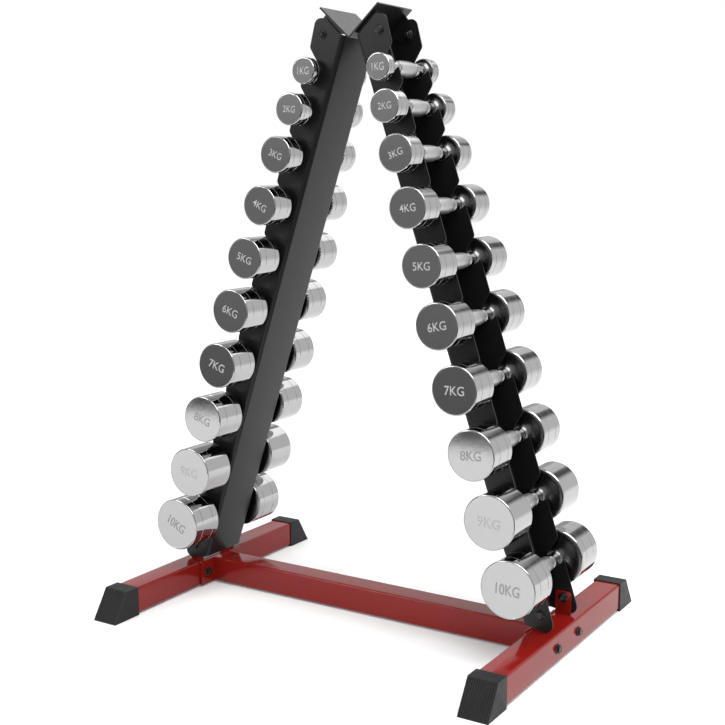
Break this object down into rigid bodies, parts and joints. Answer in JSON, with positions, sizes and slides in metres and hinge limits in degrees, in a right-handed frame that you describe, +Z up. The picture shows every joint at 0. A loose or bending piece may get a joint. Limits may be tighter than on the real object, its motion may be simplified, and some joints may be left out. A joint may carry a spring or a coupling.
{
  "type": "dumbbell rack",
  "caption": "A-frame rack of folded notched uprights on a square tube base, loaded with graded chrome dumbbells on both sides.",
  "frame": {"origin": "on the floor, under the middle of the rack", "axes": "+X from the left base tube to the right one, +Y from the front to the back along the dumbbells, +Z up"},
  "size_m": [0.832, 0.632, 1.1205],
  "materials": {
    "red_paint": "gloss deep red powder coat",
    "black_paint": "satin black powder coat",
    "black_plastic": "moulded satin plastic",
    "black_steel": "blackened steel fasteners",
    "chrome": "bright chrome plate"
  },
  "bodies": {
    "rack": {"crossbar": "red_paint", "top_bracket": "black_paint", "base_tube_left": "red_paint", "upright_left": "black_paint", "cap_left_front": "black_plastic", "crossbar_bolt_left_front": "black_steel", "crossbar_nut_left_front": "black_steel", "foot_bolt_left_front": "black_steel", "foot_nut_left_front": "black_steel", "head_bolt_left_front": "black_steel", "head_nut_left_front": "black_steel", "cap_left_back": "black_plastic", "crossbar_bolt_left_back": "black_steel", "crossbar_nut_left_back": "black_steel", "foot_bolt_left_back": "black_steel", "foot_nut_left_back": "black_steel", "head_bolt_left_back": "black_steel", "head_nut_left_back": "black_steel", "base_tube_right": "red_paint", "upright_right": "black_paint", "cap_right_front": "black_plastic", "crossbar_bolt_right_front": "black_steel", "crossbar_nut_right_front": "black_steel", "foot_bolt_right_front": "black_steel", "foot_nut_right_front": "black_steel", "head_bolt_right_front": "black_steel", "head_nut_right_front": "black_steel", "cap_right_back": "black_plastic", "crossbar_bolt_right_back": "black_steel", "crossbar_nut_right_back": "black_steel", "foot_bolt_right_back": "black_steel", "foot_nut_right_back": "black_steel", "head_bolt_right_back": "black_steel", "head_nut_right_back": "black_steel"},
    "dumbbell_left_10": {"dumbbell_left_10": "chrome"},
    "dumbbell_left_9": {"dumbbell_left_9": "chrome"},
    "dumbbell_left_8": {"dumbbell_left_8": "chrome"},
    "dumbbell_left_7": {"dumbbell_left_7": "chrome"},
    "dumbbell_left_6": {"dumbbell_left_6": "chrome"},
    "dumbbell_left_5": {"dumbbell_left_5": "chrome"},
    "dumbbell_left_4": {"dumbbell_left_4": "chrome"},
    "dumbbell_left_3": {"dumbbell_left_3": "chrome"},
    "dumbbell_left_2": {"dumbbell_left_2": "chrome"},
    "dumbbell_left_1": {"dumbbell_left_1": "chrome"},
    "dumbbell_right_10": {"dumbbell_right_10": "chrome"},
    "dumbbell_right_9": {"dumbbell_right_9": "chrome"},
    "dumbbell_right_8": {"dumbbell_right_8": "chrome"},
    "dumbbell_right_7": {"dumbbell_right_7": "chrome"},
    "dumbbell_right_6": {"dumbbell_right_6": "chrome"},
    "dumbbell_right_5": {"dumbbell_right_5": "chrome"},
    "dumbbell_right_4": {"dumbbell_right_4": "chrome"},
    "dumbbell_right_3": {"dumbbell_right_3": "chrome"},
    "dumbbell_right_2": {"dumbbell_right_2": "chrome"},
    "dumbbell_right_1": {"dumbbell_right_1": "chrome"}
  },
  "joints": [
    {"name": "lift_left_10", "type": "slide", "parent": "rack", "child": "dumbbell_left_10", "axis": [-0.7431, 0, 0.6691], "range_m": [0, 0.2]},
    {"name": "lift_left_9", "type": "slide", "parent": "rack", "child": "dumbbell_left_9", "axis": [-0.7431, 0, 0.6691], "range_m": [0, 0.2]},
    {"name": "lift_left_8", "type": "slide", "parent": "rack", "child": "dumbbell_left_8", "axis": [-0.7431, 0, 0.6691], "range_m": [0, 0.2]},
    {"name": "lift_left_7", "type": "slide", "parent": "rack", "child": "dumbbell_left_7", "axis": [-0.7431, 0, 0.6691], "range_m": [0, 0.2]},
    {"name": "lift_left_6", "type": "slide", "parent": "rack", "child": "dumbbell_left_6", "axis": [-0.7431, 0, 0.6691], "range_m": [0, 0.2]},
    {"name": "lift_left_5", "type": "slide", "parent": "rack", "child": "dumbbell_left_5", "axis": [-0.7431, 0, 0.6691], "range_m": [0, 0.2]},
    {"name": "lift_left_4", "type": "slide", "parent": "rack", "child": "dumbbell_left_4", "axis": [-0.7431, 0, 0.6691], "range_m": [0, 0.2]},
    {"name": "lift_left_3", "type": "slide", "parent": "rack", "child": "dumbbell_left_3", "axis": [-0.7431, 0, 0.6691], "range_m": [0, 0.2]},
    {"name": "lift_left_2", "type": "slide", "parent": "rack", "child": "dumbbell_left_2", "axis": [-0.7431, 0, 0.6691], "range_m": [0, 0.2]},
    {"name": "lift_left_1", "type": "slide", "parent": "rack", "child": "dumbbell_left_1", "axis": [-0.7431, 0, 0.6691], "range_m": [0, 0.2]},
    {"name": "lift_right_10", "type": "slide", "parent": "rack", "child": "dumbbell_right_10", "axis": [0.7431, 0, 0.6691], "range_m": [0, 0.2]},
    {"name": "lift_right_9", "type": "slide", "parent": "rack", "child": "dumbbell_right_9", "axis": [0.7431, 0, 0.6691], "range_m": [0, 0.2]},
    {"name": "lift_right_8", "type": "slide", "parent": "rack", "child": "dumbbell_right_8", "axis": [0.7431, 0, 0.6691], "range_m": [0, 0.2]},
    {"name": "lift_right_7", "type": "slide", "parent": "rack", "child": "dumbbell_right_7", "axis": [0.7431, 0, 0.6691], "range_m": [0, 0.2]},
    {"name": "lift_right_6", "type": "slide", "parent": "rack", "child": "dumbbell_right_6", "axis": [0.7431, 0, 0.6691], "range_m": [0, 0.2]},
    {"name": "lift_right_5", "type": "slide", "parent": "rack", "child": "dumbbell_right_5", "axis": [0.7431, 0, 0.6691], "range_m": [0, 0.2]},
    {"name": "lift_right_4", "type": "slide", "parent": "rack", "child": "dumbbell_right_4", "axis": [0.7431, 0, 0.6691], "range_m": [0, 0.2]},
    {"name": "lift_right_3", "type": "slide", "parent": "rack", "child": "dumbbell_right_3", "axis": [0.7431, 0, 0.6691], "range_m": [0, 0.2]},
    {"name": "lift_right_2", "type": "slide", "parent": "rack", "child": "dumbbell_right_2", "axis": [0.7431, 0, 0.6691], "range_m": [0, 0.2]},
    {"name": "lift_right_1", "type": "slide", "parent": "rack", "child": "dumbbell_right_1", "axis": [0.7431, 0, 0.6691], "range_m": [0, 0.2]}
  ]
}
